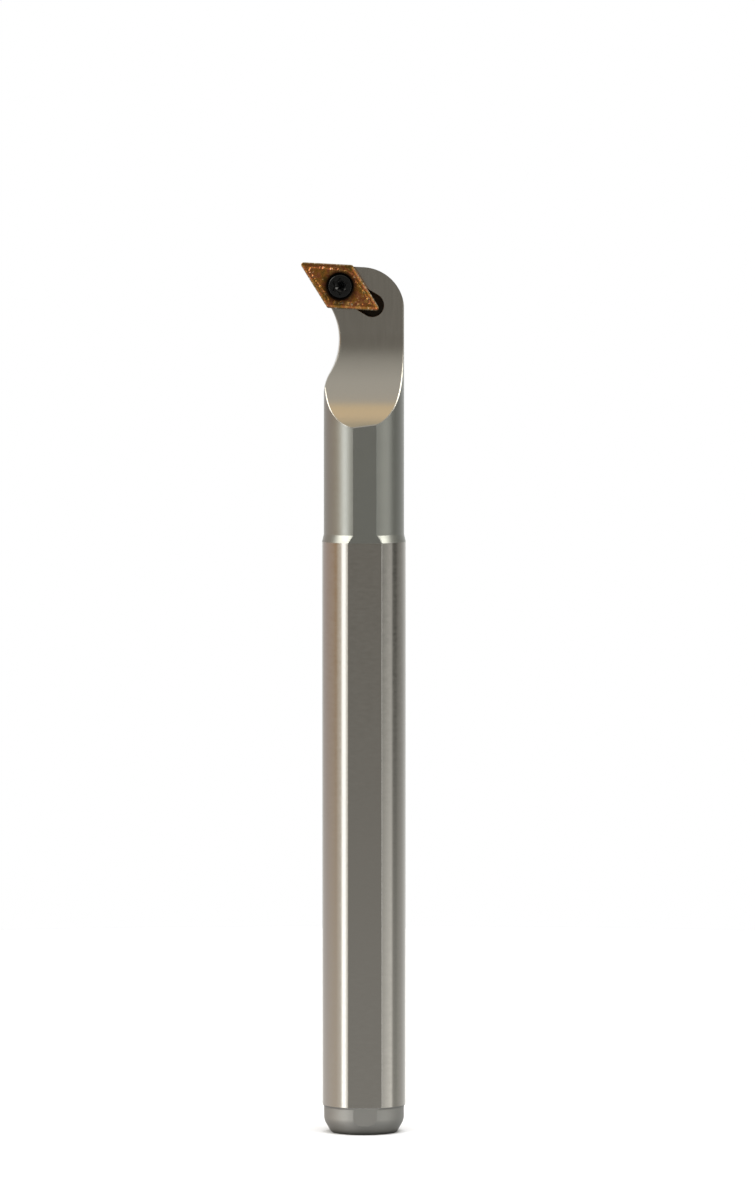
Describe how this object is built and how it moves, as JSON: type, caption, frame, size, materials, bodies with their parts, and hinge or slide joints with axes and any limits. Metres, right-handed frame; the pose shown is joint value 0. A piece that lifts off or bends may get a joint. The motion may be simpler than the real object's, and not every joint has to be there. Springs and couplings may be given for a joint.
{
  "type": "boring bar",
  "caption": "Internal turning bar with a round flatted shank and a slim hollowed head that carries a screwed-down diamond-shaped carbide insert.",
  "frame": {"origin": "centre of the rear end face, on the shank's axis", "axes": "+Z along the bar from the rear end to the cutting tip, -Y the way the front flat and the rake face look, -X from the axis towards the cutting tip"},
  "size_m": [0.015, 0.011, 0.125],
  "materials": {
    "ground_steel": "satin",
    "coated_carbide": "satin",
    "blackened_steel": "satin"
  },
  "bodies": {
    "root": {"boring_bar": "ground_steel", "insert": "coated_carbide", "clamp_screw": "blackened_steel"}
  },
  "joints": []
}
